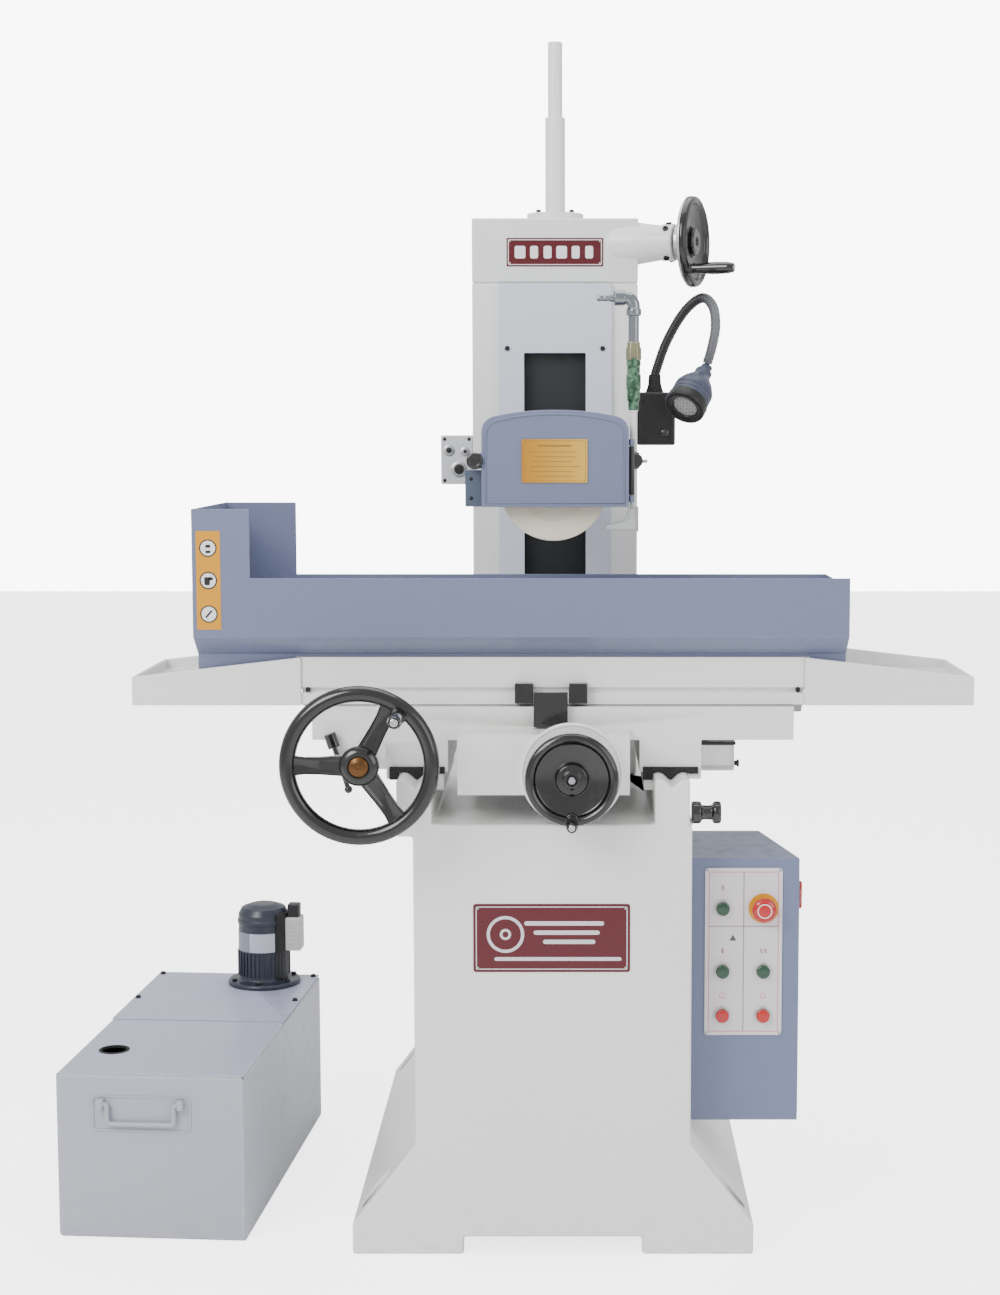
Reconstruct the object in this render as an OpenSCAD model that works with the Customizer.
// Manual surface grinder with a splash guard, a work lamp, an electrical cabinet and a coolant tank.
// Millimetres, +Z up, -Y towards the operator. The origin is on the floor, in the middle of the
// four anchor holes. Wheel, table and saddle stand at mid travel.

/* [Base] */
// Width of the base body
base_w = 446; // [400:1:520]
// Depth of the base
base_d = 830; // [780:1:1000]
// Height of the base top above the floor
base_h = 709; // [600:1:900]
// Width over the flared feet
foot_w = 652; // [600:1:760]
// Wall of the base casting
base_wall = 20; // [14:1:28]
// Anchor hole diameter
anchor_d = 18; // [12:1:22]
// Height of the saddle ways above the base top
way_h = 72; // [60:1:90]

/* [Column] */
// Width of the column and its head
column_w = 296; // [280:1:360]
// Depth of the column
column_d = 320; // [300:1:400]
// Height of the column between base and head
column_h = 887; // [860:1:1000]
// Height of the column head
head_h = 114; // [100:1:140]
// Wall of the column casting
column_wall = 18; // [14:1:24]

/* [Slides] */
// Half of the cross travel
cross_travel = 72; // [40:1:80]
// Half of the table travel
table_travel = 237.5; // [100:0.5:237.5]
// Lift of the wheelhead above its rest place
lift_up = 184; // [50:1:190]
// Drop of the wheelhead below its rest place
lift_down = 105; // [20:1:105]
// Oil gap between sliding faces
slide_gap = 0.3; // [0.3:0.1:0.6]

/* [Table] */
// Length of the table casting
table_l = 820; // [760:2:860]
// Length of the ground work surface
work_l = 470; // [400:2:520]
// Width of the ground work surface
work_w = 154; // [120:1:180]
// Width of the T-slot's mouth
slot_w = 14; // [10:0.5:16]
// Reach of each end tray past the table casting
tray_l = 276; // [200:1:300]

/* [Spindle] */
// Height of the spindle above the base top at rest
spindle_rise = 531; // [531:1:590]
// Grinding wheel diameter
wheel_d = 180; // [150:1:205]
// Grinding wheel width
wheel_w = 13; // [6:0.5:20]
// Bore of the grinding wheel
wheel_bore = 31.75; // [25:0.05:32]
// Outer diameter of the spindle bearings
bearing_od = 62; // [58:1:66]

/* [Handwheels] */
// Table handwheel diameter
table_wheel_d = 249; // [200:1:252]
// Cross-feed handwheel diameter
cross_wheel_d = 148; // [110:1:160]
// Elevation handwheel diameter
lift_wheel_d = 160; // [120:1:160]
// Turn of the elevation arm towards the operator, in degrees
arm_turn = 20; // [10:1:25]

/* [Cabinet] */
// Height of the cabinet
cabinet_h = 441; // [400:1:470]
// Wall of the sheet-metal parts
sheet = 2; // [1.5:0.1:3]
// Diameter of the push buttons
button_d = 22; // [16:1:24]

/* [Coolant] */
// Width of the coolant tank
tank_w = 317; // [280:1:360]
// Length of the coolant tank
tank_l = 650; // [600:1:700]
// Height of the coolant tank
tank_h = 280; // [220:1:320]
// Turn of the tank on the floor, in degrees
tank_turn = 4.1; // [0:0.1:6]

/* [Hidden] */
$fn = 64;
eps = 0.01;
// radial clearance of a running fit
run_gap = 0.05;

// base and anchor pattern
foot_h = 51;
flare_h = 184;
notch_w = 290;
notch_h = 29;
anchor_x = foot_w / 2 - 36;
anchor_y = base_d / 2 - 45;

// saddle ways, offset to the left of the machine's middle
way_mid = -15;
way_off = 206;
way_w = 56;
way_top = base_h + way_h;
way_y = [-base_d / 2, -base_d / 2 + 475];
vee_w = 28;
vee_h = 14;

// column
column_x = column_w / 2;
column_y = [75, 75 + column_d];
column_top = base_h + column_h;
head_top = column_top + head_h;
window_x = 55;
window_z = [base_h + 336, base_h + spindle_rise + lift_up + 48];
cover_x = 101;
cover_y = column_y[0] - 9;
screw_x = 85;
screw_z = column_top - 116;
rail_x = column_x - column_wall - 30;
rail_y = [column_y[0] + 45, column_y[0] + 75];
rear_slot_x = 75;
cover_front = column_y[0] + column_wall + 2;
cover_t = 1.4;
cover_step = cover_t + 0.6;
carriage_front = cover_front + 2 * cover_step;

// saddle
saddle_x = 391;
saddle_y = [-335, -35];
saddle_z = [way_top + 53, way_top + 107];
seat_z = way_top + slide_gap;
boss_x = [-151, 123];
boss_y = [-415, -300];
boss_z = [way_top - 24, way_top + 73];

// table
table_y = [-315, -55];
table_z = [saddle_z[1] + slide_gap, saddle_z[1] + 79];
work_z = table_z[1] + 43;
work_y = (table_y[0] + table_y[1]) / 2;
tee_w = slot_w + 8;
tee_h = 10;
slot_depth = 24;
table_vee_y = -270;
table_flat_y = -86;
stop_z = saddle_z[1] + 5;
tray_y = [-320, -50];
tray_floor = saddle_z[1] + 25;

// gear train from the table handwheel to the rack
shaft_r = 12;
shaft_x = -298;
shaft_z = way_top + 37;
table_rim_r = 12.5;
table_wheel_y = -base_d / 2 - cross_travel - table_rim_r - 1.5;
pinion_r = 22;
idler_r = 34;
rack_r = 28;
train_gap = 0.25;
idler_z = saddle_z[1] - 23;
lever_at = [shaft_x - 46, shaft_z - 25];
idler_x = shaft_x + sqrt(pow(pinion_r + idler_r, 2) - pow(idler_z - shaft_z, 2));
gear_y = [-160, -140];
rack_y = [-137, -113];
rack_z = idler_z + rack_r;

// cross-feed screw
cross_x = 31;
cross_z = way_top + 11;
cross_r = 12;
nut_y = [-190, -130];

// spindle
spindle_z = base_h + spindle_rise;
head_bore_r = 28;
spindle_r = 15;
housing_r = 46;
rear_tube_r = 60;
housing_y = [-120, column_y[1] + 7];
wheel_y = -185;
guard_y = [-214, -120];
guard_x = [-119, 125];
guard_z = [-32, 128];
shoulder_r = 30;
crown_r = 300;
carriage_z = [-110, 110];
door_t = 16;
door_out = guard_y[0] - 0.5 - door_t;
hinge_at = [guard_x[1] + 5, guard_y[0] - 6];
hinge_span = [guard_z[0] + 20, guard_z[1] - 60];
knob_at = [guard_x[0] - 11, 44];

// elevation drive
screw_y = column_y[0] + 75;
screw_r = 10;
arm_z = column_top + 71;
bevel_ratio = 2.5;
bevel_near = 26;
bevel_far = 42;
lift_shaft_r = 9;
arm_reach = 252;

// cabinet, with its right side slanted inwards towards the back
cab_x = [base_w / 2, base_w / 2 + 181];
cab_back_x = cab_x[1] - 46;
cab_y = [-330, -90];
cab_z = [197, 197 + cabinet_h];
cab_skew = atan((cab_x[1] - cab_back_x) / (cab_y[1] - cab_y[0]));
cab_side = (cab_y[1] - cab_y[0]) / cos(cab_skew);
panel_x = [cab_x[0] + 26, cab_x[0] + 153];
panel_z = [cab_z[0] + 145, cab_z[0] + 425];
panel_t = 3;
button_x = [cab_x[0] + 55, cab_x[0] + 122];
button_z = [cab_z[0] + 179, cab_z[0] + 253, cab_z[0] + 358];
stem_r = 6;
button_travel = 3;
door_y = [8, cab_side - 8];
door_z = [cab_z[0] + 12, cab_z[1] - 30];
hinge_z = [door_z[0] + 50, door_z[1] - 90];
switch_at = [62, cab_z[0] + 366];

// coolant tank, in its own frame
tank_at = [-506 - tank_w / 2, -350];
pump_at = [tank_w / 2 - 95.8, tank_l - 63];
pump_r = 47.5;
lid_y = tank_l - 330;
bail_z = tank_h - 48;
bail_x = 62;

// lamp arm: its middle line, bent by hand
lamp_at = [column_x + 32, column_y[0] + 45];
lamp_base_z = column_top - 189;
lamp_seat = [lamp_at[0], lamp_at[1], lamp_base_z];
arm_run = [[0, 0, 2], [3, -2, 36], [19, -8, 82], [43, -20, 127], [66, -35, 154], [86, -52, 162],
    [101, -70, 144], [104, -86, 109], [97, -98, 73], [89, -103, 46]];
// ball at the end of the arm, which carries the shade
neck = lamp_seat + [86, -105, 36];
ball_r = 10;
arm_r = 9;
shade_turn = [-47, 0, -33];

// ---------- shapes used by many parts ----------

// a box between two corners, given as ranges
module block(x, y, z) {
    translate([x[0], y[0], z[0]]) cube([x[1] - x[0], y[1] - y[0], z[1] - z[0]]);
}

// round bars along each axis; at gives the two other coordinates
module bar_x(r, x, at) {
    translate([x[0], at[0], at[1]]) rotate([0, 90, 0]) cylinder(r = r, h = x[1] - x[0]);
}
module bar_y(r, y, at) {
    translate([at[0], y[0], at[1]]) rotate([-90, 0, 0]) cylinder(r = r, h = y[1] - y[0]);
}
module bar_z(r, z, at = [0, 0]) {
    translate([at[0], at[1], z[0]]) cylinder(r = r, h = z[1] - z[0]);
}

// an outline of (x, z) points carried along Y, and one of (y, z) points carried along X
module along_y(points, y) {
    translate([0, y[1], 0]) rotate([90, 0, 0]) linear_extrude(y[1] - y[0]) polygon(points);
}
module along_x(points, x) {
    translate([x[0], 0, 0]) rotate([90, 0, 90]) linear_extrude(x[1] - x[0]) polygon(points);
}

// the frame of the spindle, of the slanted cabinet side, of the elevation arm and of the tank
module at_spindle() { translate([0, 0, spindle_z]) children(); }
module at_cabinet_side() { translate([cab_x[1], cab_y[0], 0]) rotate([0, 0, cab_skew]) children(); }
module at_arm() { translate([0, screw_y, arm_z]) rotate([0, 0, -arm_turn]) children(); }
module at_tank() { translate([tank_at[0], tank_at[1], 0]) rotate([0, 0, -tank_turn]) children(); }

// ---------- base and column ----------

function base_outline(inset) = [[-foot_w / 2 + inset, -2 * inset], [-foot_w / 2 + inset, foot_h - inset / 2],
    [-base_w / 2 + inset, flare_h - inset / 2], [-base_w / 2 + inset, base_h - inset],
    [base_w / 2 - inset, base_h - inset], [base_w / 2 - inset, flare_h - inset / 2],
    [foot_w / 2 - inset, foot_h - inset / 2], [foot_w / 2 - inset, -2 * inset]];

module vee(x, grow) {
    along_y([[x - vee_w / 2 - grow, way_top + grow], [x, way_top + grow - vee_h],
        [x + vee_w / 2 + grow, way_top + grow]], [way_y[0] - 1, way_y[1] + 1]);
}

module base_casting() {
    color([0.92, 0.92, 0.90]) difference() {
        union() {
            difference() {
                along_y(base_outline(0), [-base_d / 2, base_d / 2]);
                along_y(base_outline(base_wall), [-base_d / 2 + base_wall, base_d / 2 - base_wall]);
            }
            for (sx = [-1, 1], sy = [-1, 1]) {
                translate([sx * anchor_x, sy * anchor_y, 0]) translate([-35, -44, 0]) cube([70, 88, foot_h]);
            }
            for (side = [-1, 1]) {
                block([way_mid + side * way_off - way_w / 2, way_mid + side * way_off + way_w / 2],
                    way_y, [base_h - base_wall, way_top]);
            }
        }
        block([-notch_w / 2, notch_w / 2], [-base_d, base_d], [-1, notch_h]);
        for (sx = [-1, 1], sy = [-1, 1]) {
            bar_z(anchor_d / 2, [-1, foot_h + 1], [sx * anchor_x, sy * anchor_y]);
            bar_z(24, [foot_h, flare_h], [sx * anchor_x, sy * anchor_y]);
        }
        for (side = [-1, 1]) {
            vee(way_mid + side * way_off, 0);
        }
        block([-110, 110], [column_y[0] + 30, base_d / 2 - 60], [base_h - base_wall - 1, base_h + 1]);
    }
}

module column_casting() {
    color([0.93, 0.94, 0.92]) difference() {
        union() {
            difference() {
                block([-column_x, column_x], column_y, [base_h, column_top]);
                block([-column_x + column_wall, column_x - column_wall],
                    [column_y[0] + column_wall, column_y[1] - column_wall], [base_h - 1, column_top + 1]);
            }
            for (side = [-1, 1]) {
                block(side > 0 ? [rail_x, column_x - column_wall + 1] : [-column_x + column_wall - 1, -rail_x],
                    rail_y, [base_h, column_top]);
            }
        }
        block([-window_x - 15, window_x + 15], [column_y[0] - 1, column_y[0] + column_wall + 1],
            [window_z[0] - 15, window_z[1] + 15]);
        block([-rear_slot_x, rear_slot_x], [column_y[1] - column_wall - 1, column_y[1] + 1],
            [spindle_z - lift_down - 80, spindle_z + lift_up + 80]);
        for (side = [-1, 1]) {
            bar_y(2.5, [column_y[0] - 1, column_y[0] + 12], [side * screw_x, screw_z]);
        }
    }
}

module column_head() {
    color([0.91, 0.94, 0.92]) difference() {
        block([-column_x, column_x], column_y, [column_top, head_top]);
        block([-column_x + 14, column_x - 14], [column_y[0] + column_wall, column_y[1] - 14],
            [column_top + 28, head_top - 14]);
        block([-column_x + 14, column_x - 14], [column_y[0] + column_wall, carriage_front + 8],
            [column_top - 1, column_top + 40]);
        bar_z(20, [column_top - 1, column_top + 40], [0, screw_y]);
        bar_z(screw_r + 3, [head_top - 20, head_top + 1], [0, screw_y]);
        at_arm() bar_x(lift_shaft_r + 6, [bevel_far + 10, 260], [0, 0]);
    }
}

module elevation_arm() {
    color([0.90, 0.93, 0.91]) difference() {
        intersection() {
            at_arm() translate([100, 0, 0]) rotate([0, 90, 0]) cylinder(r1 = 43, r2 = 30, h = arm_reach - 22 - 100);
            block([column_x, 400], [-300, 400], [column_top, head_top + 60]);
        }
        at_arm() bar_x(lift_shaft_r + run_gap, [90, 300], [0, 0]);
    }
}

module column_cover() {
    color([0.90, 0.90, 0.94]) difference() {
        union() {
            block([-cover_x, cover_x], [cover_y, cover_y + sheet], [way_top - 11, column_top - 1]);
            for (side = [-1, 1]) {
                block(side > 0 ? [cover_x - sheet, cover_x] : [-cover_x, -cover_x + sheet],
                    [cover_y, column_y[0]], [way_top - 11, column_top - 1]);
            }
        }
        block([-window_x, window_x], [cover_y - 1, cover_y + sheet + 1], window_z);
        for (side = [-1, 1]) {
            bar_y(2.6, [cover_y - 1, cover_y + sheet + 1], [side * screw_x, screw_z]);
        }
    }
}

// cap screws on fixed pieces: column cover, tube flange and elevation arm
module cover_screws() {
    color([0.12, 0.12, 0.13]) {
        for (side = [-1, 1]) {
            bar_y(4.5, [cover_y - 3, cover_y], [side * screw_x, screw_z]);
            bar_y(2.5, [cover_y, column_y[0] + 10], [side * screw_x, screw_z]);
        }
        for (turn = [45:90:315]) {
            translate([42 * cos(turn), screw_y + 42 * sin(turn), 0]) bar_z(4.5, [head_top + 14, head_top + 19]);
        }
    }
}

module screw_tube() {
    color([0.92, 0.94, 0.94]) difference() {
        union() {
            bar_z(51, [head_top, head_top + 14], [0, screw_y]);
            bar_z(18, [head_top, head_top + 185], [0, screw_y]);
            bar_z(13, [head_top + 185, head_top + 318], [0, screw_y]);
        }
        bar_z(screw_r + 1.2, [head_top - 1, head_top + 312], [0, screw_y]);
    }
}

module cross_nut() {
    color([0.72, 0.56, 0.30]) difference() {
        union() {
            block([cross_x - 24, cross_x + 24], nut_y, [base_h, cross_z]);
            bar_y(24, nut_y, [cross_x, cross_z]);
        }
        bar_y(cross_r + run_gap, [nut_y[0] - 1, nut_y[1] + 1], [cross_x, cross_z]);
    }
}

// ---------- cabinet ----------

module cabinet_prism(inset, z) {
    linear_extrude_between(z) polygon([[cab_x[0] + inset, cab_y[0] + inset],
        [cab_x[1] - inset * 1.2, cab_y[0] + inset], [cab_back_x - inset * 1.2, cab_y[1] - inset],
        [cab_x[0] + inset, cab_y[1] - inset]]);
}
module linear_extrude_between(z) {
    translate([0, 0, z[0]]) linear_extrude(z[1] - z[0]) children();
}

module cabinet_shell() {
    color([0.56, 0.61, 0.72]) difference() {
        cabinet_prism(0, cab_z);
        cabinet_prism(sheet, [cab_z[0] + sheet, cab_z[1] - sheet]);
        at_cabinet_side() block([-10, 5], [door_y[0] + 8, door_y[1] - 12], [door_z[0] + 8, door_z[1] - 8]);
        for (z = button_z, x = button_x) {
            bar_y(stem_r + 1, [cab_y[0] - 1, cab_y[0] + sheet + 1], [x, z]);
        }
    }
    // hinge lugs and pins of the door
    color([0.56, 0.61, 0.72]) at_cabinet_side() for (z = hinge_z) {
        for (lug = [[z - 8, z - 1], [z + 41, z + 48]]) {
            block([-1, 10], [door_y[1] + 1, door_y[1] + 6], lug);
            bar_z(5, lug, [5.5, door_y[1]]);
        }
        bar_z(2.5 - run_gap, [z - 8, z + 48], [5.5, door_y[1]]);
    }
}

module control_panel() {
    color([0.86, 0.85, 0.86]) {
        difference() {
            block(panel_x, [cab_y[0] - panel_t, cab_y[0]], panel_z);
            for (z = button_z, x = button_x) {
                bar_y(stem_r + run_gap, [cab_y[0] - panel_t - 1, cab_y[0] + 1], [x, z]);
            }
        }
        for (z = button_z, x = button_x) {
            translate([x, cab_y[0] - panel_t, z]) rotate([90, 0, 0]) difference() {
                cylinder(r = button_d / 2 + 3, h = 3);
                translate([0, 0, -1]) cylinder(r = button_d / 2 + 0.5, h = 5);
            }
        }
    }
}

module contactor_rail() {
    color([0.80, 0.80, 0.78]) {
        block([cab_x[0] + sheet + 8, cab_back_x - 12], [cab_y[1] - sheet - 3, cab_y[1] - sheet],
            [cab_z[0] + 60, cab_z[1] - 60]);
        for (i = [0:1]) {
            block([cab_x[0] + 16 + i * 54, cab_x[0] + 62 + i * 54], [cab_y[1] - sheet - 78, cab_y[1] - sheet - 3],
                [cab_z[0] + 250, cab_z[0] + 330]);
        }
        block([cab_x[0] + 14, cab_x[0] + 118], [cab_y[1] - sheet - 45, cab_y[1] - sheet - 3],
            [cab_z[0] + 90, cab_z[0] + 130]);
    }
}

// skinned door on the slanted side, hinged at the back, in the frame of that side
module cabinet_door() {
    color([0.56, 0.61, 0.72]) at_cabinet_side() difference() {
        union() {
            block([0.5, 0.5 + sheet], [door_y[0], door_y[1] - 6], door_z);
            for (z = hinge_z) {
                block([0.5, 0.5 + sheet], [door_y[1] - 7, door_y[1]], [z, z + 40]);
                bar_z(5, [z, z + 40], [5.5, door_y[1]]);
            }
            block([2, 7], [switch_at[0] - 28, switch_at[0] + 28], [switch_at[1] - 28, switch_at[1] + 28]);
        }
        bar_x(4 + run_gap, [-1, 8], [switch_at[0], switch_at[1]]);
        for (z = hinge_z) {
            bar_z(2.5, [z - 1, z + 41], [5.5, door_y[1]]);
        }
    }
}

module mains_switch() {
    color([0.75, 0.08, 0.06]) at_cabinet_side() union() {
        bar_x(4, [-18, 12], [switch_at[0], switch_at[1]]);
        bar_x(20, [7.5, 13], [switch_at[0], switch_at[1]]);
        block([12, 22], [switch_at[0] - 7, switch_at[0] + 7], [switch_at[1] - 24, switch_at[1] + 24]);
    }
}

// a push button: cap in front, stem through the panel
module push_button(x, z, cap_r, cap_y) {
    bar_y(cap_r, cap_y, [x, z]);
    bar_y(stem_r, [cap_y[1] - 1, cab_y[0] + 18], [x, z]);
}
module plain_button(x, z) {
    push_button(x, z, button_d / 2, [cab_y[0] - panel_t - 4 - 7, cab_y[0] - panel_t - 4]);
}
module start_button() { color([0.05, 0.35, 0.22]) plain_button(button_x[0], button_z[2]); }
module wheel_on_button() { color([0.08, 0.40, 0.26]) plain_button(button_x[0], button_z[1]); }
module wheel_off_button() { color([0.70, 0.05, 0.08]) plain_button(button_x[0], button_z[0]); }
module pump_on_button() { color([0.08, 0.40, 0.26]) plain_button(button_x[1], button_z[1]); }
module pump_off_button() { color([0.70, 0.05, 0.08]) plain_button(button_x[1], button_z[0]); }
module stop_button() {
    color([0.85, 0.08, 0.10]) push_button(button_x[1], button_z[2], 20, [cab_y[0] - panel_t - 24, cab_y[0] - panel_t - 12]);
}

// ---------- saddle ----------

module way_leg(side) {
    x = way_mid + side * way_off;
    inner = side > 0 ? [x - 43, x - way_w / 2 - slide_gap] : [x + way_w / 2 + slide_gap, x + 43];
    outer = side > 0 ? [x + way_w / 2 + slide_gap, x + 50] : [x - 50, x - way_w / 2 - slide_gap];
    block([x - 50, x + 50], saddle_y, [seat_z, saddle_z[0] + 1]);
    block(inner, saddle_y, [way_top - 29, seat_z + 1]);
    block(outer, saddle_y, [way_top - 11, seat_z + 1]);
    along_y([[x - vee_w / 2 + 0.6, seat_z + 1], [x - vee_w / 2 + 0.6, seat_z], [x, seat_z + 0.6 - vee_h],
        [x + vee_w / 2 - 0.6, seat_z], [x + vee_w / 2 - 0.6, seat_z + 1]], saddle_y);
}

module saddle_casting() {
    color([0.90, 0.90, 0.91]) difference() {
        union() {
            block([-saddle_x, saddle_x], saddle_y, saddle_z);
            way_leg(-1);
            way_leg(1);
            block(boss_x, boss_y, boss_z);
            block([shaft_x - 56, way_mid - way_off - 50 + 1], [saddle_y[0], -100], [way_top + 5, saddle_z[0] + 1]);
            bar_y(28, [saddle_y[0] - 30, saddle_y[0] + 1], [shaft_x, shaft_z]);
            // stop block between the table dogs
            block([-31, 24], [saddle_y[0] - 16, saddle_y[0]], [saddle_z[0] + 23, saddle_z[1] + 25]);
        }
        block([way_mid - way_off + 60, way_mid + way_off - 60], [boss_y[1], saddle_y[1] - 20],
            [saddle_z[0] - 1, saddle_z[0] + 34]);
        block([way_mid + way_off + 66, saddle_x - 16], [saddle_y[0] + 20, saddle_y[1] - 20],
            [saddle_z[0] - 1, saddle_z[0] + 34]);
        // table ways
        table_vee(0);
        block([-saddle_x - 1, saddle_x + 1], [table_flat_y - 22, table_flat_y + 22], [saddle_z[1] - 10, saddle_z[1] + 1]);
        // gear pocket, shaft bore and idler axle bore
        block([shaft_x - 30, idler_x + idler_r + 2], [gear_y[0] - 3, rack_y[1] + 3], [way_top + 10, saddle_z[1] + 1]);
        bar_y(shaft_r + run_gap, [saddle_y[0] - 40, -100 - 15], [shaft_x, shaft_z]);
        bar_y(8 + run_gap, [gear_y[0] - 20, rack_y[1] + 20], [idler_x, idler_z]);
        bar_y(cross_r + run_gap, [boss_y[0] - 1, boss_y[1] + 1], [cross_x, cross_z]);
    }
}

module table_vee(grow) {
    along_x([[table_vee_y - 20, saddle_z[1] + 1], [table_vee_y - 20, saddle_z[1]], [table_vee_y, saddle_z[1] - 18],
        [table_vee_y + 20, saddle_z[1]], [table_vee_y + 20, saddle_z[1] + 1]], [-saddle_x - 1, saddle_x + 1]);
}

// rubber wipers screwed to the front and back of the saddle over each way
module way_wipers() {
    t = 6;
    color([0.06, 0.06, 0.06]) for (side = [-1, 1], y = [saddle_y[0] - t, saddle_y[1]]) {
        x = way_mid + side * way_off;
        along_y([[x - 45, way_top - 12], [x - 45, seat_z + 9], [x + 45, seat_z + 9], [x + 45, way_top - 2],
            [x + way_w / 2 + 1, way_top - 2], [x + way_w / 2 + 1, seat_z + 0.5], [x + vee_w / 2, seat_z + 0.5],
            [x, seat_z + 1 - vee_h], [x - vee_w / 2, seat_z + 0.5], [x - way_w / 2 - 1, seat_z + 0.5],
            [x - way_w / 2 - 1, way_top - 12]], [y, y + t]);
    }
}

module lubricator() {
    x = way_mid + way_off + 50;
    color([0.95, 0.95, 0.93]) {
        difference() {
            block([x, x + 56], [-310, -240], [way_top - 2, way_top + 41]);
            block([x + 3, x + 53], [-307, -243], [way_top + 2, way_top + 42]);
        }
        block([x, x + 58], [-312, -238], [way_top + 41, way_top + 46]);
        bar_x(4.5, [x + 56, x + 66], [-290, way_top + 8]);
    }
}

// ---------- table ----------

module table_casting() {
    color([0.80, 0.81, 0.82]) difference() {
        union() {
            block([-table_l / 2, table_l / 2], table_y, table_z);
            block([-work_l / 2, work_l / 2], [work_y - work_w / 2, work_y + work_w / 2], [table_z[1] - 1, work_z]);
            along_x([[table_vee_y - 19, table_z[0] + 1], [table_vee_y - 19, table_z[0]], [table_vee_y, table_z[0] - 17.2],
                [table_vee_y + 19, table_z[0]], [table_vee_y + 19, table_z[0] + 1]], [-table_l / 2, table_l / 2]);
            block([-table_l / 2, table_l / 2], [table_flat_y - 21, table_flat_y + 21], [saddle_z[1] - 10 + slide_gap, table_z[0] + 1]);
        }
        // T-slot in the work surface
        block([-work_l, work_l], [work_y - slot_w / 2, work_y + slot_w / 2], [work_z - slot_depth, work_z + 1]);
        block([-work_l, work_l], [work_y - tee_w / 2, work_y + tee_w / 2], [work_z - slot_depth, work_z - slot_depth + tee_h]);
        // groove for the dogs along the front
        block([-table_l, table_l], [table_y[0] - 1, table_y[0] + 8], [saddle_z[1] + 21, saddle_z[1] + 29]);
        // room for the rack and the idler gear underneath
        block([-table_l, 60], [rack_y[0], rack_y[1]], [table_z[0] - 1, tray_floor]);
        block([-table_l, 60], [gear_y[0] - 3, rack_y[0] + 1], [table_z[0] - 1, idler_z + idler_r + 4]);
        // hollow between the ways
        block([90, table_l / 2 - 20], [table_vee_y + 35, table_flat_y - 35], [table_z[0] - 1, table_z[1] - 25]);
    }
}

// cast trays at both ends that catch the coolant
module table_trays() {
    color([0.92, 0.92, 0.93]) for (side = [0, 1]) {
        mirror([side, 0, 0]) difference() {
            along_y([[table_l / 2, table_z[0]], [table_l / 2 + tray_l, table_z[0]],
                [table_l / 2 + tray_l, table_z[1] - 32], [table_l / 2, table_z[1]]], tray_y);
            block([table_l / 2 + 8, table_l / 2 + tray_l - 8], [tray_y[0] + 8, tray_y[1] - 8], [tray_floor + 8, table_z[1] + 1]);
            block([table_l / 2 - 1, table_l / 2 + tray_l - 8], [tray_y[0] + 8, tray_y[1] - 8], [table_z[0] - 1, tray_floor]);
        }
    }
}

// folded sheet guard around the work, higher at the left end
guard_out_x = [-579, 478];
guard_out_y = [-350, -20];
guard_fold_z = table_z[1] + 36;
guard_foot_z = table_z[1] + 4;
guard_low_z = table_z[1] - 22;
guard_front_z = table_z[1] + 131;
guard_back_z = table_z[1] + 116;
guard_tall_z = table_z[1] + 242;
guard_foot_y = [-306, -64];
module guard_side(y_out, y_in, top, x) {
    s = y_in > y_out ? 1 : -1;
    t = s * sheet;
    along_x(s > 0 ? [[y_out, guard_fold_z], [y_in, guard_foot_z], [y_in, guard_low_z], [y_in + t, guard_low_z],
        [y_in + t, guard_foot_z + 1], [y_out + t, guard_fold_z + 1], [y_out + t, top], [y_out, top]]
        : [[y_out, guard_fold_z], [y_out, top], [y_out + t, top], [y_out + t, guard_fold_z + 1],
        [y_in + t, guard_foot_z + 1], [y_in + t, guard_low_z], [y_in, guard_low_z], [y_in, guard_foot_z]], x);
}
module splash_guard() {
    color([0.57, 0.62, 0.74]) difference() {
        union() {
            guard_side(guard_out_y[0], guard_foot_y[0], guard_front_z, guard_out_x);
            guard_side(guard_out_y[1], guard_foot_y[1], guard_back_z, guard_out_x);
            block([guard_out_x[0], guard_out_x[0] + 93], [guard_out_y[0], guard_out_y[0] + sheet], [guard_front_z - 1, guard_tall_z]);
            block([guard_out_x[0], guard_out_x[0] + 125], [guard_out_y[1] - sheet, guard_out_y[1]], [guard_back_z - 1, guard_tall_z]);
            for (end = [[guard_out_x[0], guard_tall_z], [guard_out_x[1] - sheet, guard_back_z]]) {
                along_x([[guard_foot_y[0], guard_low_z], [guard_foot_y[1], guard_low_z], [guard_foot_y[1], guard_foot_z],
                    [guard_out_y[1], guard_fold_z], [guard_out_y[1], end[1]], [guard_out_y[0], end[1]],
                    [guard_out_y[0], guard_fold_z], [guard_foot_y[0], guard_foot_z]], [end[0], end[0] + sheet]);
            }
        }
        // the low skirt only reaches into the end trays, and stops on the table casting between them
        block([-table_l / 2 - 9, table_l / 2 + 9], [guard_out_y[0] - 1, guard_out_y[1] + 1], [guard_low_z - 1, table_z[1]]);
    }
}

// rack under the table: one tooth outline repeated along its length
rack_tooth = 4 * PI;
rack_teeth = 40;
rack_end_x = idler_x + table_travel + rack_r;
module rack_outline() {
    polygon(concat([[0, tray_floor], [0, rack_z + 5]],
        [for (i = [0:rack_teeth - 1], p = [[0.1, 5], [0.35, 0.4], [0.65, 0.4], [0.9, 5]])
            [-(i + p[0]) * rack_tooth, rack_z + p[1]]],
        [[-rack_teeth * rack_tooth, rack_z + 5], [-rack_teeth * rack_tooth, tray_floor]]));
}
module table_rack() {
    color([0.45, 0.46, 0.48]) translate([rack_end_x, rack_y[1] - 1, 0]) rotate([90, 0, 0])
        linear_extrude(rack_y[1] - rack_y[0] - 2) rack_outline();
}

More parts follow.
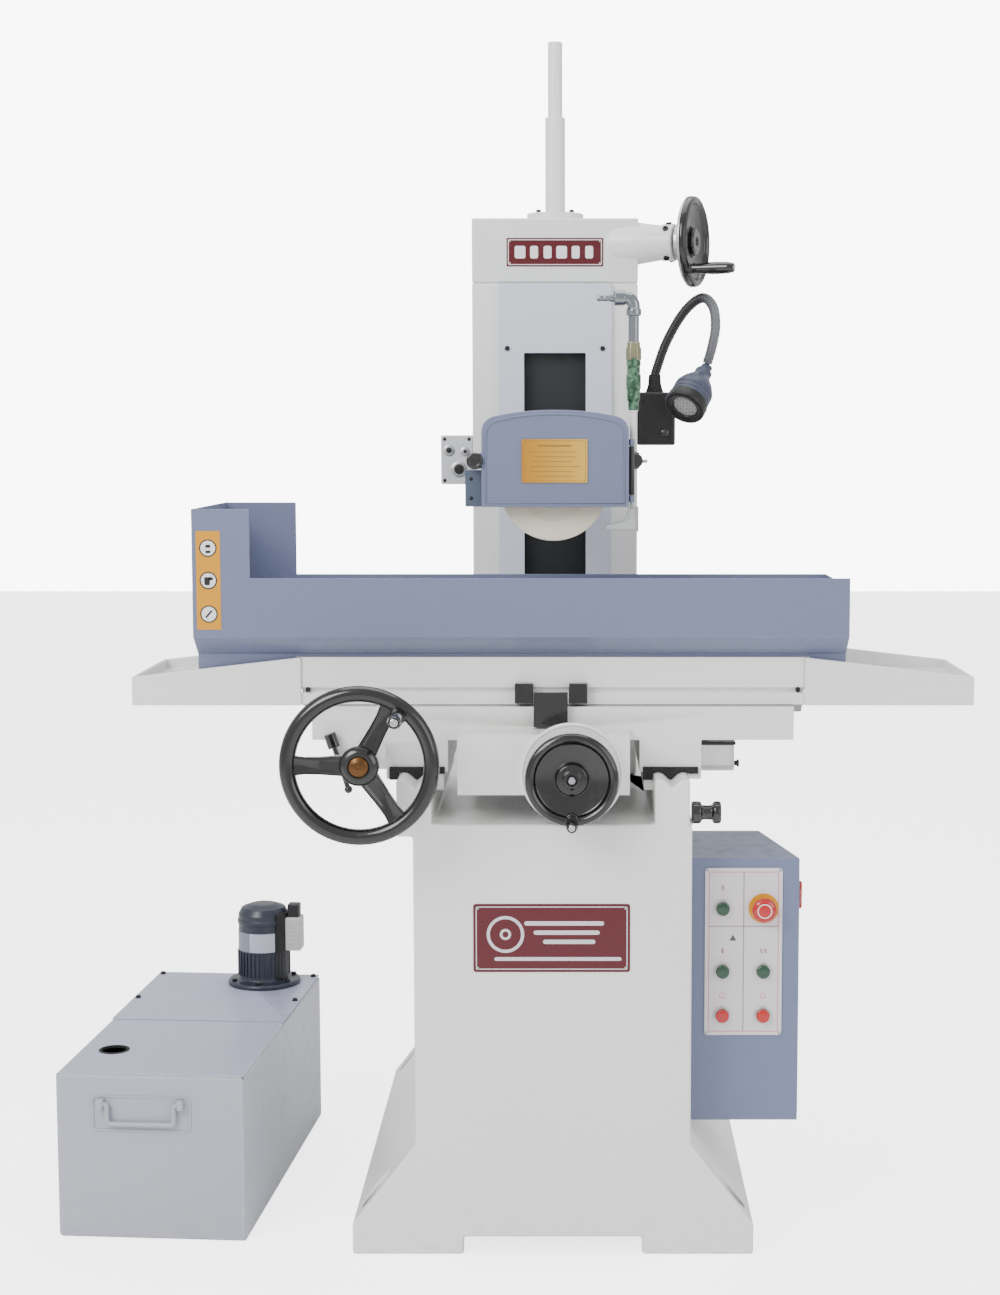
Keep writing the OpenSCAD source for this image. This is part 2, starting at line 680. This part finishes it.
module dog(x) {
    color([0.05, 0.05, 0.06]) {
        block([x - 15, x + 15], [table_y[0] - 19, table_y[0] - slide_gap], [stop_z, stop_z + 33]);
        block([x - 9, x + 9], [table_y[0] - 1, table_y[0] + 7.5], [saddle_z[1] + 21.4, saddle_z[1] + 28.6]);
    }
}
module left_dog() { dog(-47); }
module right_dog() { dog(41); }

// ---------- handwheels ----------

// a spoked handwheel in the XY plane, rim in the middle of z = 0
module spoked_wheel(r, rim_r, hub_r, hub_z, spokes) {
    rotate_extrude() translate([r - rim_r, 0]) circle(r = rim_r);
    bar_z(hub_r, hub_z);
    for (turn = spokes) {
        rotate([0, 0, turn]) translate([0, -11, -5]) cube([r - rim_r, 22, 10]);
    }
}
module at_table_wheel() { translate([shaft_x, table_wheel_y, shaft_z]) rotate([90, 0, 0]) children(); }
module table_handwheel() {
    color([0.07, 0.07, 0.08]) at_table_wheel() difference() {
        union() {
            spoked_wheel(table_wheel_d / 2, table_rim_r, 27, [-40, 18], [180, 62, -55]);
            rotate([0, 0, 52]) bar_z(11, [-8, 12], [100, 0]);
        }
        rotate([0, 0, 52]) bar_z(5, [-9, 13], [100, 0]);
        bar_z(shaft_r, [-41, -5], [0, 0]);
    }
    color([0.40, 0.42, 0.45]) {
        bar_y(shaft_r, [table_wheel_y + 5, -112], [shaft_x, shaft_z]);
    }
    color([0.50, 0.50, 0.52]) difference() {
        bar_y(pinion_r - train_gap, gear_y, [shaft_x, shaft_z]);
        bar_y(shaft_r, [gear_y[0] - 1, gear_y[1] + 1], [shaft_x, shaft_z]);
    }
}

module table_grip() {
    color([0.05, 0.05, 0.05]) at_table_wheel() rotate([0, 0, 52]) translate([100, 0, 0]) union() {
        bar_z(5 - run_gap, [-7, 30]);
        bar_z(12, [13, 90]);
    }
}

module idler_gear() {
    color([0.48, 0.48, 0.50]) union() {
        bar_y(8, [gear_y[0] - 18, rack_y[1] + 18], [idler_x, idler_z]);
        bar_y(idler_r - train_gap, gear_y, [idler_x, idler_z]);
        bar_y(rack_r - train_gap, [rack_y[0], rack_y[1]], [idler_x, idler_z]);
    }
}

module at_cross_wheel() { translate([cross_x, -480, cross_z]) rotate([90, 0, 0]) children(); }
module cross_handwheel() {
    color([0.07, 0.07, 0.08]) at_cross_wheel() difference() {
        union() {
            rotate_extrude() translate([cross_wheel_d / 2 - 9, 0]) circle(r = 9);
            translate([0, 0, -12]) cylinder(r1 = 30, r2 = cross_wheel_d / 2 - 9, h = 12);
            bar_z(24, [-30, 8]);
        }
        translate([0, 0, -4]) cylinder(r1 = 26, r2 = cross_wheel_d / 2 - 12, h = 13);
        rotate([0, 0, -90]) bar_z(4, [-20, 20], [62, 0]);
        bar_z(cross_r, [-31, -4], [0, 0]);
    }
    color([0.80, 0.80, 0.80]) difference() {
        bar_y(38, [-446, boss_y[0] - 3], [cross_x, cross_z]);
        bar_y(cross_r, [-447, boss_y[0]], [cross_x, cross_z]);
    }
    color([0.55, 0.55, 0.57]) bar_y(cross_r, [-476, -45], [cross_x, cross_z]);
}
module cross_grip() {
    color([0.05, 0.05, 0.05]) at_cross_wheel() rotate([0, 0, -90]) translate([cross_wheel_d / 2 - 12, 0, 0]) union() {
        bar_z(4 - run_gap, [-8, 30]);
        bar_z(10, [10, 78]);
    }
}

// ---------- elevation drive ----------

module elevation_handwheel() {
    grip_turn = -133;
    color([0.10, 0.10, 0.11]) at_arm() rotate([0, 90, 0]) difference() {
        union() {
            translate([0, 0, arm_reach + 10]) rotate_extrude() translate([lift_wheel_d / 2 - 9, 0]) circle(r = 9);
            translate([0, 0, arm_reach - 4]) cylinder(r1 = 28, r2 = lift_wheel_d / 2 - 9, h = 14);
            bar_z(24, [arm_reach - 4, arm_reach + 16]);
        }
        translate([0, 0, arm_reach + 3]) cylinder(r1 = 25, r2 = lift_wheel_d / 2 - 13, h = 14);
        bar_z(lift_shaft_r, [arm_reach - 5, arm_reach + 8]);
        rotate([0, 0, -42]) bar_z(4, [arm_reach - 10, arm_reach + 20], [lift_wheel_d / 2 - 12, 0]);
    }
    color([0.80, 0.80, 0.80]) at_arm() difference() {
        bar_x(33, [arm_reach - 20, arm_reach - 4], [0, 0]);
        bar_x(lift_shaft_r, [arm_reach - 21, arm_reach - 3], [0, 0]);
    }
    color([0.48, 0.48, 0.50]) at_arm() difference() {
        union() {
            bar_x(lift_shaft_r, [bevel_near, arm_reach + 8], [0, 0]);
            translate([bevel_near, 0, 0]) rotate([0, 90, 0])
                cylinder(r1 = bevel_near / bevel_ratio - 0.3, r2 = bevel_far / bevel_ratio - 0.3, h = bevel_far - bevel_near);
        }
    }
}
module elevation_grip() {
    color([0.05, 0.05, 0.05]) at_arm() rotate([0, 90, 0]) rotate([0, 0, -42]) translate([lift_wheel_d / 2 - 12, 0, 0]) union() {
        bar_z(4 - run_gap, [arm_reach + 1, arm_reach + 40]);
        bar_z(11, [arm_reach + 20.5, arm_reach + 98]);
    }
}

// bevel gear whose hub is the nut of the elevation screw
module gear_nut() {
    color([0.70, 0.55, 0.30]) translate([0, screw_y, 0]) difference() {
        union() {
            bar_z(20 - run_gap, [column_top + 2, column_top + 28.3]);
            bar_z(44, [column_top + 28 + slide_gap, arm_z - bevel_far / bevel_ratio - 0.3]);
            translate([0, 0, arm_z - bevel_far / bevel_ratio - 0.3 - eps])
                cylinder(r1 = bevel_far, r2 = bevel_near, h = (bevel_far - bevel_near) / bevel_ratio);
        }
        bar_z(screw_r + run_gap, [column_top - 10, arm_z + 40]);
    }
}

module elevation_screw() {
    color([0.60, 0.60, 0.62]) at_spindle() bar_z(screw_r, [carriage_z[1], carriage_z[1] + 445], [0, screw_y]);
}

// ---------- wheelhead ----------

module spindle_housing() {
    color([0.88, 0.89, 0.90]) at_spindle() difference() {
        union() {
            bar_y(housing_r, [housing_y[0], carriage_front + 1], [0, 0]);
            bar_y(rear_tube_r, [carriage_front + 10, housing_y[1]], [0, 0]);
            block([-rail_x + slide_gap, rail_x - slide_gap], [carriage_front, rail_y[1] + 20], carriage_z);
            block([-rail_x - 24, rail_x + 24], [carriage_front, rail_y[0] - slide_gap], carriage_z);
            block([-rail_x - 24, rail_x + 24], [rail_y[1] + slide_gap, rail_y[1] + 20], carriage_z);
            for (z = [[52, 62], [-62, -50]]) {
                block([-50, 50], [cover_front + cover_t, carriage_front + 1], z);
            }
            bar_y(95, [housing_y[1], housing_y[1] + 12], [0, 0]);
        }
        bar_y(head_bore_r, [housing_y[0] - 1, housing_y[1] + 20], [0, 0]);
        for (y = [[housing_y[0] - 1, housing_y[0] + 60], [housing_y[1] - 50, housing_y[1] + 20]]) {
            bar_y(bearing_od / 2, y, [0, 0]);
        }
    }
}

// outer rings of the two bearing packs
module spindle_bearings() {
    color([0.70, 0.71, 0.73]) at_spindle() for (y = [[housing_y[0] + 2, housing_y[0] + 58], [housing_y[1] - 48, housing_y[1] - 10]]) {
        difference() {
            bar_y(bearing_od / 2 - 0.02, y, [0, 0]);
            bar_y(spindle_r + run_gap, [y[0] - 1, y[1] + 1], [0, 0]);
        }
    }
}

motor_y = [housing_y[1] + 12, housing_y[1] + 230];
module motor_housing() {
    color([0.56, 0.61, 0.72]) at_spindle() {
        difference() {
            union() {
                bar_y(95, motor_y, [0, 0]);
                for (turn = [20:20:160]) {
                    rotate([0, -turn, 0]) block([90, 103], [motor_y[0] + 20, motor_y[1] - 50], [-2, 2]);
                }
                block([-35, 35], [motor_y[0] + 60, motor_y[0] + 140], [90, 128]);
            }
            bar_y(84, [motor_y[0] - 1, motor_y[1] - 4], [0, 0]);
            for (turn = [0:45:315]) {
                rotate([0, turn, 0]) bar_y(8, [motor_y[1] - 10, motor_y[1] + 1], [50, 0]);
            }
        }
        difference() {
            bar_y(84, [motor_y[0] + 35, motor_y[0] + 145], [0, 0]);
            bar_y(52.6, [motor_y[0] + 34, motor_y[0] + 146], [0, 0]);
        }
    }
}

// spindle with the rotor and the fan of its motor
module spindle_shaft() {
    color([0.70, 0.71, 0.73]) at_spindle() union() {
        bar_y(spindle_r, [wheel_y - 18, motor_y[1] - 30], [0, 0]);
        bar_y(20, [housing_y[0] + 60, housing_y[1] - 50], [0, 0]);
        bar_y(52, [motor_y[0] + 30, motor_y[0] + 150], [0, 0]);
        bar_y(18, [motor_y[1] - 46, motor_y[1] - 26], [0, 0]);
        for (turn = [0:45:315]) {
            rotate([0, turn, 0]) block([10, 76], [motor_y[1] - 44, motor_y[1] - 28], [-1.5, 1.5]);
        }
    }
}

module wheel_flanges() {
    color([0.62, 0.63, 0.65]) at_spindle() {
        difference() {
            union() {
                bar_y(36, [wheel_y + wheel_w / 2, wheel_y + wheel_w / 2 + 8], [0, 0]);
                bar_y(wheel_bore / 2, [wheel_y - wheel_w / 2, wheel_y + wheel_w / 2 + 1], [0, 0]);
                bar_y(24, [wheel_y + wheel_w / 2 + 7, housing_y[0] - 2], [0, 0]);
            }
            bar_y(spindle_r, [wheel_y - 30, housing_y[0]], [0, 0]);
        }
        difference() {
            bar_y(36, [wheel_y - wheel_w / 2 - 8, wheel_y - wheel_w / 2], [0, 0]);
            bar_y(spindle_r, [wheel_y - 30, housing_y[0]], [0, 0]);
        }
    }
}

module grinding_wheel() {
    color([0.93, 0.90, 0.82]) at_spindle() difference() {
        bar_y(wheel_d / 2, [wheel_y - wheel_w / 2, wheel_y + wheel_w / 2], [0, 0]);
        bar_y(wheel_bore / 2, [wheel_y - wheel_w, wheel_y + wheel_w], [0, 0]);
    }
}

// the guard's front outline: straight sides, round shoulders and a shallow arch
module guard_form(y, inset) {
    mid = (guard_x[0] + guard_x[1]) / 2;
    x0 = guard_x[0] + inset;
    x1 = guard_x[1] - inset;
    top = guard_z[1] - inset;
    intersection() {
        union() {
            block([x0, x1], y, [guard_z[0], top - shoulder_r]);
            block([x0 + shoulder_r, x1 - shoulder_r], y, [guard_z[0], top]);
            bar_y(shoulder_r, y, [x0 + shoulder_r, top - shoulder_r]);
            bar_y(shoulder_r, y, [x1 - shoulder_r, top - shoulder_r]);
        }
        bar_y(crown_r, y, [mid, top - crown_r]);
    }
}

module wheel_guard() {
    wall = 5;
    // lugs and pin of the door's hinge
    color([0.57, 0.62, 0.74]) at_spindle() {
        for (z = [hinge_span[0] - 12, hinge_span[1] + 1]) {
            block([guard_x[1] - 4, hinge_at[0] + 4.5], [guard_y[0] + 0.5, guard_y[0] + 9], [z, z + 11]);
            block([hinge_at[0] - 4.5, hinge_at[0] + 4.5], [hinge_at[1], guard_y[0] + 1], [z, z + 11]);
            bar_z(4.5, [z, z + 11], hinge_at);
        }
        bar_z(2.5 - run_gap, [hinge_span[0] - 12, hinge_span[1] + 12], hinge_at);
    }
    color([0.57, 0.62, 0.74]) at_spindle() difference() {
        guard_form(guard_y, 0);
        difference() {
            translate([0, 0, -1]) guard_form([guard_y[0] - 1, guard_y[1] - 10], wall);
        }
        block([guard_x[0] + wall, guard_x[1] - wall], [guard_y[0] - 1, guard_y[1] - 10], [guard_z[0] - 1, guard_z[0] + 1]);
        bar_y(26, [guard_y[1] - 11, guard_y[1] + 1], [0, 0]);
    }
}

module guard_door() {
    at_spindle() {
        color([0.57, 0.62, 0.74]) difference() {
            union() {
                guard_form([door_out, guard_y[0] - 0.5], 0);
                block([knob_at[0] - 12, guard_x[0] + 2], [guard_y[0] - 8, guard_y[0] - 3], [knob_at[1] - 14, knob_at[1] + 14]);
                block([guard_x[1] - 2, hinge_at[0]], [hinge_at[1] - 2, hinge_at[1] + 2], hinge_span);
                bar_z(4.5, hinge_span, hinge_at);
            }
            translate([0, 0, -1]) guard_form([door_out + 4, guard_y[0] + 1], 5);
            block([guard_x[0] + 5, guard_x[1] - 5], [door_out + 4, guard_y[0]], [guard_z[0] - 1, guard_z[0] + 1]);
            bar_z(2.5, [guard_z[0], guard_z[1]], hinge_at);
        }
        color([0.05, 0.05, 0.05]) bar_y(14, [guard_y[0] - 22, guard_y[0] - 8], [knob_at[0], knob_at[1]]);
    }
}

// three-sided chute on the guard's left side, held in a slot
module spark_deflector() {
    x = [guard_x[0] - 28, guard_x[0] - slide_gap];
    color([0.40, 0.48, 0.60]) at_spindle() difference() {
        block(x, [guard_y[0] + 2, guard_y[0] + 70], [guard_z[0], guard_z[0] + 60]);
        block([x[0] + sheet, x[1] + 1], [guard_y[0] + 2 + sheet, guard_y[0] + 70 - sheet], [guard_z[0] - 1, guard_z[0] + 61]);
    }
}

// cover strips fixed to the wheelhead, behind the window
module slot_covers() {
    color([0.10, 0.11, 0.12]) at_spindle() {
        block([-84, 84], [cover_front, cover_front + cover_t], [52, 240]);
        block([-84, 84], [cover_front, cover_front + cover_t], [-380, -50]);
    }
}

// second strip of the telescoping cover, which moves half as far
module upper_cover() {
    color([0.12, 0.13, 0.14]) block([-82, 82], [cover_front + cover_step, cover_front + cover_step + cover_t],
        [spindle_z + 162, spindle_z + 322]);
}

// ---------- coolant ----------

pipe_at = [guard_x[1] + 9, -170];
pipe_r = 7;
module coolant_pipe() {
    top = 314;
    x = pipe_at[0];
    y = pipe_at[1];
    at_spindle() {
        // hose nipple, elbow and upper pipe
        color([0.75, 0.76, 0.77]) difference() {
            union() {
                bar_x(pipe_r - 2, [x - 62, x - 30], [y, top]);
                bar_x(pipe_r + 4, [x - 34, x - 18], [y, top]);
                bar_x(pipe_r, [x - 20, x - 14], [y, top]);
                translate([x - 14, y, top - 14]) rotate([90, 0, 0]) rotate_extrude(angle = 90) translate([14, 0]) circle(r = pipe_r);
                bar_z(pipe_r, [top - 72, top - 14], [x, y]);
            }
            bar_x(2.5, [x - 63, x - 40], [y, top]);
        }
        // union nut, valve body, lower pipe and clamp on the guard's side
        color([0.70, 0.60, 0.38]) translate([x, y, top - 103]) cylinder(r = 13, h = 31, $fn = 6);
        color([0.25, 0.50, 0.36]) difference() {
            bar_z(11, [top - 186, top - 103], [x, y]);
            bar_y(4 + run_gap, [y - 12, y + 1], [x, top - 140]);
        }
        color([0.80, 0.80, 0.80]) bar_z(pipe_r - 1, [guard_z[0] - 4, top - 186], [x, y]);
        color([0.08, 0.08, 0.08]) difference() {
            block([guard_x[1], x + 10], [y - 9, y + 9], [30, 58]);
            bar_z(pipe_r - 1, [20, 60], [x, y]);
        }
        // flat nozzle beside the wheel
        color([0.90, 0.92, 0.90]) difference() {
            block([x - 46, x + 8], [y - 30, y + 10], [guard_z[0] - 40, guard_z[0] - 4]);
            block([x - 47, x - 30], [y - 26, y - 4], [guard_z[0] - 30, guard_z[0] - 10]);
        }
    }
}

module valve_lever() {
    top = 314;
    x = pipe_at[0];
    y = pipe_at[1];
    color([0.20, 0.45, 0.32]) at_spindle() union() {
        bar_y(4, [y - 18, y - 5], [x, top - 140]);
        block([x - 5, x + 5], [y - 21, y - 17], [top - 148, top - 100]);
    }
}

module coolant_tank() {
    color([0.71, 0.72, 0.76]) at_tank() difference() {
        union() {
            difference() {
                block([-tank_w / 2, tank_w / 2], [0, tank_l], [0, tank_h]);
                block([-tank_w / 2 + sheet, tank_w / 2 - sheet], [sheet, tank_l - sheet], [sheet, tank_h - sheet]);
                block([-tank_w / 2 + 14, tank_w / 2 - 14], [lid_y + 12, tank_l - 12], [tank_h - sheet - 1, tank_h + 1]);
            }
            // baffle and ears of the lifting handle
            block([-tank_w / 2 + 1, tank_w / 2 - 1], [lid_y - 30, lid_y - 30 + sheet], [1, tank_h - 90]);
            for (side = [-1, 1]) {
                block([side * (bail_x + 5) - 5 - 14, side * (bail_x + 5) + 5 - 14], [-14, 1], [bail_z - 8, bail_z + 8]);
            }
        }
        bar_z(23, [tank_h - sheet - 1, tank_h + 1], [-98, 135]);
        bar_x(4 + run_gap, [-100, 100], [-8, bail_z]);
    }
}

module tank_handle() {
    x = bail_x;
    color([0.55, 0.56, 0.60]) at_tank() translate([-14, 0, 0]) union() {
        for (side = [-1, 1]) {
            bar_x(4, side > 0 ? [x - 9, x + 9] : [-x - 9, -x + 9], [-8, bail_z]);
            bar_z(4, [bail_z - 34, bail_z], [side * (x - 6), -8]);
        }
        bar_x(4, [-x + 2, x - 2], [-8, bail_z - 34]);
    }
}

module tank_lid() {
    color([0.70, 0.71, 0.76]) at_tank() difference() {
        block([-tank_w / 2 + 2, tank_w / 2 - 2], [lid_y, tank_l - 2], [tank_h, tank_h + sheet]);
        bar_z(30, [tank_h - 1, tank_h + sheet + 1], pump_at);
    }
}

// motor, flange, tube and volute of the submerged pump
module pump_body() {
    floor_z = tank_h + sheet;
    color([0.36, 0.40, 0.48]) at_tank() {
        difference() {
            union() {
                bar_z(68.5, [floor_z, floor_z + 9], pump_at);
                bar_z(pump_r, [floor_z + 9, floor_z + 155], pump_at);
                translate([pump_at[0] + pump_r - 4, pump_at[1] - 22, floor_z + 60]) cube([34, 44, 62]);
            }
            bar_z(pump_r - 6, [floor_z + 14, floor_z + 149], pump_at);
            bar_z(6 + run_gap, [floor_z - 1, floor_z + 20], pump_at);
        }
        difference() {
            bar_z(22, [40, floor_z + 9], pump_at);
            bar_z(12, [30, floor_z + 10], pump_at);
        }
        difference() {
            bar_z(44, [16, 40], pump_at);
            bar_z(36, [20, 36], pump_at);
            bar_z(12, [10, 41], pump_at);
        }
    }
}
module pump_rotor() {
    floor_z = tank_h + sheet;
    color([0.55, 0.56, 0.58]) at_tank() union() {
        bar_z(6, [22, floor_z + 140], pump_at);
        bar_z(32, [23, 33], pump_at);
        bar_z(30, [floor_z + 30, floor_z + 125], pump_at);
    }
}

// ---------- column fittings and lamp ----------

module column_boxes() {
    // lamp transformer box on the right
    color([0.08, 0.08, 0.09]) difference() {
        union() {
            block([column_x, column_x + 68], [lamp_at[1] - 40, lamp_at[1] + 40], [lamp_base_z - 99, lamp_base_z - 4]);
            bar_z(14, [lamp_base_z - 5, lamp_base_z], lamp_at);
        }
        bar_z(6 + run_gap, [lamp_base_z - 30, lamp_base_z + 1], lamp_at);
    }
    // power outlet box on the left
    color([0.88, 0.88, 0.90]) difference() {
        block([-column_x - 58, -column_x], [column_y[0] + 10, column_y[0] + 60], [spindle_z - 2, spindle_z + 86]);
        block([-column_x - 55, -column_x - 3], [column_y[0] + 13, column_y[0] + 61], [spindle_z + 1, spindle_z + 83]);
    }
}

// a smooth curve through hand-set points, and a tube of flat sides along it
function mix3(p, i, t) = let (a = p[max(i - 1, 0)], b = p[i], c = p[i + 1], d = p[min(i + 2, len(p) - 1)])
    0.5 * ((2 * b) + (c - a) * t + (2 * a - 5 * b + 4 * c - d) * t * t + (3 * b - a - 3 * c + d) * t * t * t);
function smooth(p, n) = [for (i = [0:len(p) - 2], k = [0:n - 1]) mix3(p, i, k / n), p[len(p) - 1]];
function unit(v) = v / norm(v);
module tube_along(route, r, sides) {
    n = len(route);
    dirs = [for (i = [0:n - 1]) unit(route[min(i + 1, n - 1)] - route[max(i - 1, 0)])];
    rings = [for (i = [0:n - 1]) let (u = unit(cross(dirs[i], [0.3, -1, 0])), w = cross(dirs[i], u))
        for (k = [0:sides - 1]) route[i] + r * (cos(360 * k / sides) * u + sin(360 * k / sides) * w)];
    faces = concat([[for (k = [0:sides - 1]) k]], [[for (k = [sides - 1:-1:0]) (n - 1) * sides + k]],
        [for (i = [0:n - 2], k = [0:sides - 1])
            [i * sides + k, (i + 1) * sides + k, (i + 1) * sides + (k + 1) % sides, i * sides + (k + 1) % sides]]);
    polyhedron(rings, faces);
}
module gooseneck() {
    color([0.06, 0.06, 0.07]) {
        tube_along(smooth([for (p = arm_run) lamp_seat + p], 3), arm_r, 10);
        bar_z(6, [lamp_base_z - 25, lamp_base_z + 2], lamp_at);
        bar_z(11, [lamp_base_z + 0.4, lamp_base_z + 2], lamp_at);
    }
}

// shade, in a frame whose -Z points out of its mouth
module at_shade() { translate(neck) rotate(shade_turn) children(); }
module lamp_head() {
    color([0.52, 0.57, 0.66]) at_shade() {
        difference() {
            union() {
                sphere(r = ball_r);
                bar_x(3.5, [-ball_r - 0.5, ball_r + 0.5], [0, 0]);
                translate([0, 0, -24]) cylinder(r = 15, h = 18);
                translate([0, 0, -58]) cylinder(r1 = 35, r2 = 15, h = 34 + eps);
                translate([0, 0, -104]) cylinder(r = 35, h = 46 + eps);
            }
            translate([0, 0, -58]) cylinder(r1 = 31, r2 = 12, h = 31);
            translate([0, 0, -105]) cylinder(r = 31, h = 47 + eps);
        }
        translate([0, 0, -98]) cylinder(r = 30.9, h = 4);
    }
}

// ---------- locks ----------

module saddle_lock_knob() {
    z = base_h + 13;
    y = -base_d / 2 + 40;
    color([0.05, 0.05, 0.05]) union() {
        bar_x(18, [base_w / 2 + slide_gap, base_w / 2 + 16], [y, z]);
        bar_x(12, [base_w / 2 + 15, base_w / 2 + 35], [y, z]);
        bar_x(18, [base_w / 2 + 34, base_w / 2 + 48], [y, z]);
    }
}

module table_lock_lever() {
    color([0.05, 0.05, 0.05]) translate([lever_at[0], saddle_y[0], lever_at[1]]) rotate([0, -18, 0]) union() {
        bar_y(9, [-18, -slide_gap], [0, 0]);
        bar_z(4, [-38, 40], [0, -13]);
        bar_z(10, [32, 56], [0, -13]);
        translate([0, -13, -40]) sphere(r = 6.5);
    }
}

base_casting();
column_casting();
column_head();
elevation_arm();
column_cover();
cover_screws();
screw_tube();
cross_nut();
cabinet_shell();
control_panel();
contactor_rail();
column_boxes();
coolant_tank();
tank_lid();
pump_body();
saddle_casting();
way_wipers();
lubricator();
table_casting();
table_trays();
splash_guard();
table_rack();
spindle_housing();
slot_covers();
wheel_guard();
motor_housing();
elevation_screw();
spindle_bearings();
coolant_pipe();
spindle_shaft();
wheel_flanges();
grinding_wheel();
upper_cover();
guard_door();
spark_deflector();
valve_lever();
table_handwheel();
table_grip();
idler_gear();
cross_handwheel();
cross_grip();
elevation_handwheel();
elevation_grip();
gear_nut();
saddle_lock_knob();
table_lock_lever();
left_dog();
right_dog();
gooseneck();
lamp_head();
cabinet_door();
mains_switch();
tank_handle();
pump_rotor();
start_button();
stop_button();
wheel_on_button();
wheel_off_button();
pump_on_button();
pump_off_button();
